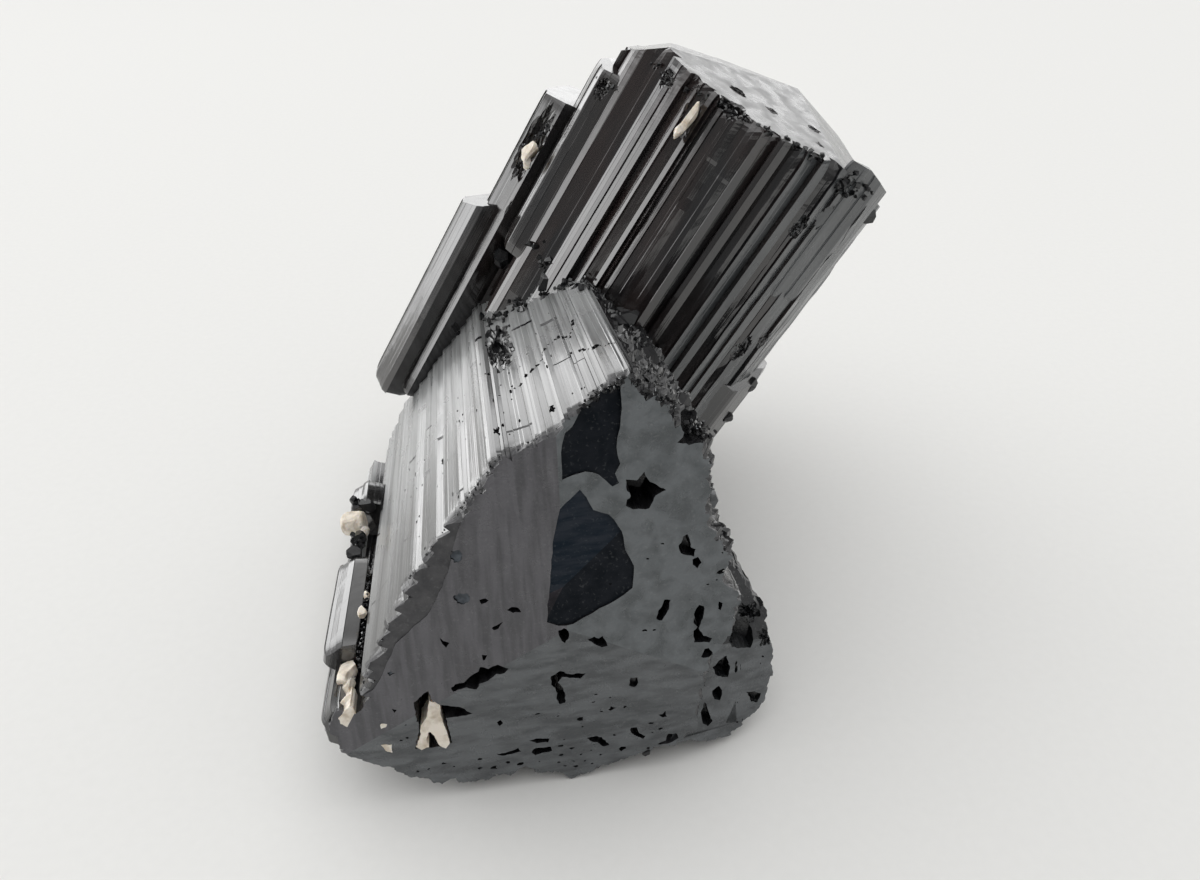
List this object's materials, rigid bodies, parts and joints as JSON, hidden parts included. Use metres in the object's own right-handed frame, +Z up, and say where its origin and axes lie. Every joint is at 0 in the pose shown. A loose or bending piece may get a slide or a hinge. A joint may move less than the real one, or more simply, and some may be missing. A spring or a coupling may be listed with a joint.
{
  "type": "black tourmaline crystal cluster",
  "caption": "Black tourmaline specimen of thick striated prisms crossed and grown together, with thin side prisms, a pitted end face and cream feldspar grains.",
  "frame": {"origin": "centre of the bounding box, on the surface that the specimen lies on", "axes": "+Z up; -Y is the side that the front crystal's end face looks to; +X to the right as seen from there"},
  "size_m": [0.0685, 0.0753, 0.0623],
  "materials": {
    "black_tourmaline": "glassy, striated, with dull pitted patches",
    "cream_feldspar": "matt, granular"
  },
  "bodies": {
    "root": {"tourmaline_cluster": "black_tourmaline", "feldspar_left_upper": "cream_feldspar", "feldspar_left_lower": "cream_feldspar", "feldspar_corner": "cream_feldspar", "feldspar_front": "cream_feldspar", "feldspar_back_left": "cream_feldspar", "feldspar_back_top": "cream_feldspar"}
  },
  "joints": []
}
